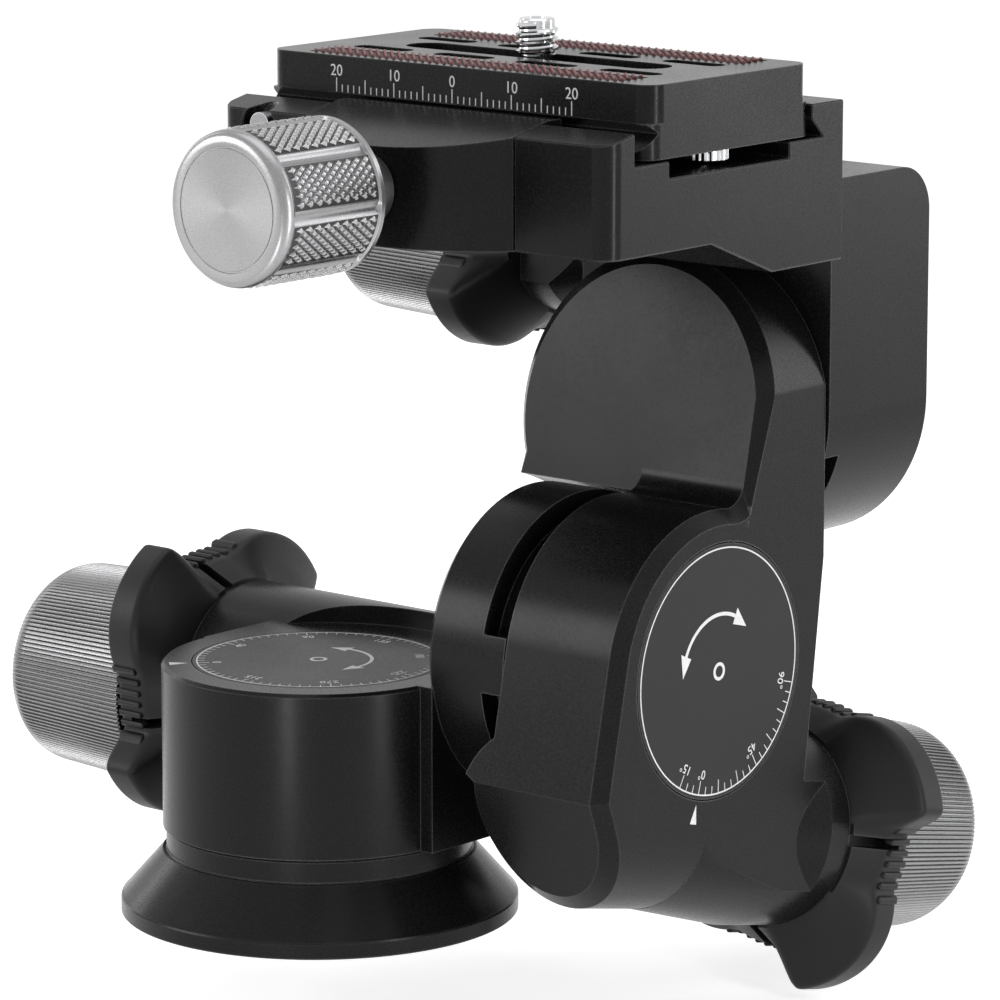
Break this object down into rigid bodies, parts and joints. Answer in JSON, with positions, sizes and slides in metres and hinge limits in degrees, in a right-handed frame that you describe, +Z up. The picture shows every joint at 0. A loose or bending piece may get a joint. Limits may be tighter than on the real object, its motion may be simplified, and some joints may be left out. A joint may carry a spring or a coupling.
{
  "type": "geared tripod head",
  "caption": "Geared tripod head with worm-driven pan, tilt and roll axes, release collars, ribbed knobs and a screw-knob clamp with a quick-release plate.",
  "frame": {"origin": "mouth of the tripod thread, at the centre of the foot's underside on the pan axis", "axes": "+Z up along the pan axis; +X along the tilt axis and the plate's slide; -Y towards the clamp knob"},
  "size_m": [0.1492, 0.1493, 0.1522],
  "materials": {
    "black_anodised": "black anodised, fine satin, with fine chamfers",
    "natural_anodised": "natural anodised, turned and ribbed",
    "steel": "machined",
    "bronze": "machined",
    "chrome": "bright plated",
    "black_collar": "matt black anodised",
    "maroon_rubber": "ribbed grip rubber"
  },
  "bodies": {
    "foot": {"base_flange": "black_anodised", "foot_insert": "steel", "pan_worm_wheel": "bronze", "pan_dial": "black_anodised"},
    "pan_body": {"pan_housing": "black_anodised", "tilt_worm_wheel": "bronze", "tilt_dial": "black_anodised"},
    "pan_release": {"pan_sleeve": "steel", "pan_collar": "black_collar"},
    "pan_worm": {"pan_worm_shaft": "steel", "pan_knob": "natural_anodised"},
    "tilt_body": {"tilt_housing": "black_anodised", "roll_worm_wheel": "bronze", "roll_dial": "black_anodised", "roll_stop_key": "black_anodised"},
    "tilt_release": {"tilt_sleeve": "steel", "tilt_collar": "black_collar"},
    "tilt_worm": {"tilt_worm_shaft": "steel", "tilt_knob": "natural_anodised"},
    "roll_body": {"roll_housing": "black_anodised", "clamp_body": "black_anodised", "guide_pins": "steel", "lock_pin": "steel"},
    "roll_release": {"roll_sleeve": "steel", "roll_collar": "black_collar"},
    "roll_worm": {"roll_worm_shaft": "steel", "roll_knob": "natural_anodised"},
    "jaw": {"clamp_jaw": "black_anodised", "clamp_bush": "natural_anodised"},
    "jaw_knob": {"clamp_knob": "natural_anodised"},
    "plate": {"plate": "black_anodised", "rubber_strips": "maroon_rubber", "plate_stop_screws": "steel"},
    "camera_screw": {"camera_screw": "chrome"}
  },
  "joints": [
    {"name": "pan", "type": "hinge", "parent": "foot", "child": "pan_body", "pos_m": [0, 0, 0.02], "axis": [0, 0, 1], "continuous": true},
    {"name": "tilt", "type": "hinge", "parent": "pan_body", "child": "tilt_body", "pos_m": [0.04738, 0.02, 0.0418], "axis": [1, 0, 0], "range_deg": [-15, 90]},
    {"name": "roll", "type": "hinge", "parent": "tilt_body", "child": "roll_body", "pos_m": [0.0373, 0.058, 0.076], "axis": [0, 1, 0], "range_deg": [-30, 30]},
    {"name": "pan_release_twist", "type": "hinge", "parent": "pan_body", "child": "pan_release", "pos_m": [-0.044, 0.0242, 0.0257], "axis": [1, 0, 0], "range_deg": [0, 32], "stiffness_Nm_per_rad": 0.2, "springref_deg": -11.46},
    {"name": "tilt_release_twist", "type": "hinge", "parent": "tilt_body", "child": "tilt_release", "pos_m": [0.04738, 0.01501, 0.01832], "axis": [0, -0.9781, 0.2079], "range_deg": [0, 32], "stiffness_Nm_per_rad": 0.2, "springref_deg": -11.46},
    {"name": "roll_release_twist", "type": "hinge", "parent": "roll_body", "child": "roll_release", "pos_m": [-0.005, 0.058, 0.0996], "axis": [1, 0, 0], "range_deg": [0, 32], "stiffness_Nm_per_rad": 0.2, "springref_deg": -11.46},
    {"name": "pan_worm_spin", "type": "hinge", "parent": "pan_release", "child": "pan_worm", "pos_m": [-0.044, 0.0242, 0.0229], "axis": [-1, 0, 0], "continuous": true},
    {"name": "tilt_worm_spin", "type": "hinge", "parent": "tilt_release", "child": "tilt_worm", "pos_m": [0.04458, 0.01501, 0.01832], "axis": [0, 0.9781, -0.2079], "continuous": true},
    {"name": "roll_worm_spin", "type": "hinge", "parent": "roll_release", "child": "roll_worm", "pos_m": [0.0373, 0.05918, 0.09706], "axis": [-1, 0, 0], "continuous": true},
    {"name": "jaw_slide", "type": "slide", "parent": "roll_body", "child": "jaw", "axis": [0, -1, 0], "range_m": [0, 0.004]},
    {"name": "jaw_knob_turn", "type": "hinge", "parent": "jaw", "child": "jaw_knob", "pos_m": [0.0373, -0.048, 0.116], "axis": [0, -1, 0], "range_deg": [0, 1441]},
    {"name": "plate_slide", "type": "slide", "parent": "roll_body", "child": "plate", "axis": [1, 0, 0], "range_m": [-0.02, 0.02]},
    {"name": "camera_screw_turn", "type": "hinge", "parent": "plate", "child": "camera_screw", "pos_m": [0.0373, 0.0062, 0.125], "axis": [0, 0, 1], "continuous": true}
  ],
  "couplings": [
    {"joint": "pan_worm_spin", "follows": "pan", "ratio": 60},
    {"joint": "tilt_worm_spin", "follows": "tilt", "ratio": 60},
    {"joint": "roll_worm_spin", "follows": "roll", "ratio": 60},
    {"joint": "jaw_knob_turn", "follows": "jaw_slide", "rad_per_m": 6283.2}
  ]
}
